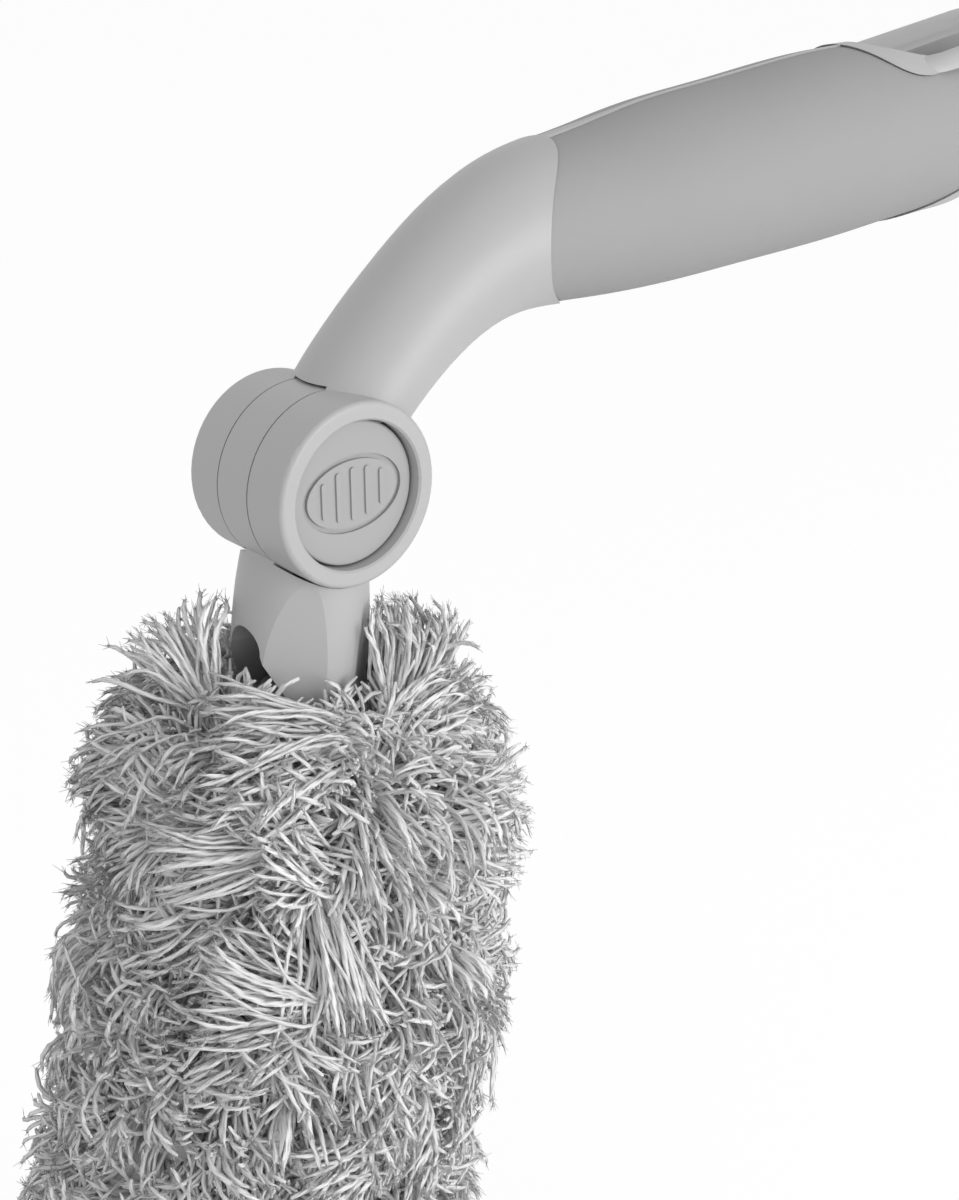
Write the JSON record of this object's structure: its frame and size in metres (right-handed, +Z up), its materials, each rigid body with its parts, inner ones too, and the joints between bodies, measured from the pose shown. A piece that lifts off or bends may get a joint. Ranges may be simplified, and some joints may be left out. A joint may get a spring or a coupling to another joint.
{
  "type": "cobweb brush",
  "caption": "Cobweb brush with a curved rubber-panelled hand grip, a push-button tilting hub and a fluffy yarn head.",
  "frame": {"origin": "middle of the hand grip, on the grip's axis", "axes": "+X along the grip toward the hang eye, +Y along the hub's pivot away from the button, +Z up in the held pose of the picture"},
  "size_m": [0.2737, 0.0898, 0.292],
  "materials": {
    "shell_plastic": "satin moulded light grey plastic",
    "button_plastic": "satin moulded mid grey plastic",
    "grip_rubber": "soft matte grey rubber",
    "steel": "zinc plated",
    "spring_steel": "drawn wire",
    "gear_plastic": "natural acetal",
    "core_plastic": "moulded mid grey plastic",
    "sleeve_cloth": "knitted backing cloth",
    "band_elastic": "elastic band",
    "yarn": "twisted yarn with frayed ends"
  },
  "bodies": {
    "handle": {"handle_shell_front": "shell_plastic", "handle_shell_rear": "shell_plastic", "grip_pad_front": "grip_rubber", "grip_pad_rear": "grip_rubber", "pivot_bolt": "steel", "pivot_washer": "steel", "retaining_ring": "spring_steel", "hub_cap": "button_plastic", "shell_screws": "steel"},
    "button": {"push_button": "button_plastic"},
    "lock_gear": {"lock_gear": "gear_plastic"},
    "head": {"head_socket": "shell_plastic", "lock_spring": "spring_steel", "core_stem": "core_plastic", "core_tube": "core_plastic", "tip_plug": "core_plastic", "yarn_sleeve": "sleeve_cloth", "sleeve_band": "band_elastic", "yarn_row_1": "yarn", "yarn_row_2": "yarn", "yarn_row_3": "yarn", "yarn_row_4": "yarn", "yarn_row_5": "yarn", "yarn_row_6": "yarn", "yarn_row_7": "yarn", "yarn_row_8": "yarn"}
  },
  "joints": [
    {"name": "head_tilt", "type": "hinge", "parent": "handle", "child": "head", "pos_m": [-0.105, 0, -0.03859], "axis": [0, 1, 0], "range_deg": [-45, 90]},
    {"name": "button_press", "type": "slide", "parent": "handle", "child": "button", "axis": [0, 1, 0], "range_m": [0, 0.0018], "stiffness_N_per_m": 1500, "springref_m": -0.001},
    {"name": "gear_slide", "type": "slide", "parent": "head", "child": "lock_gear", "axis": [0, 1, 0], "range_m": [0, 0.0018], "deforming": ["lock_spring"]}
  ],
  "couplings": [
    {"joint": "gear_slide", "follows": "button_press", "ratio": 1}
  ]
}
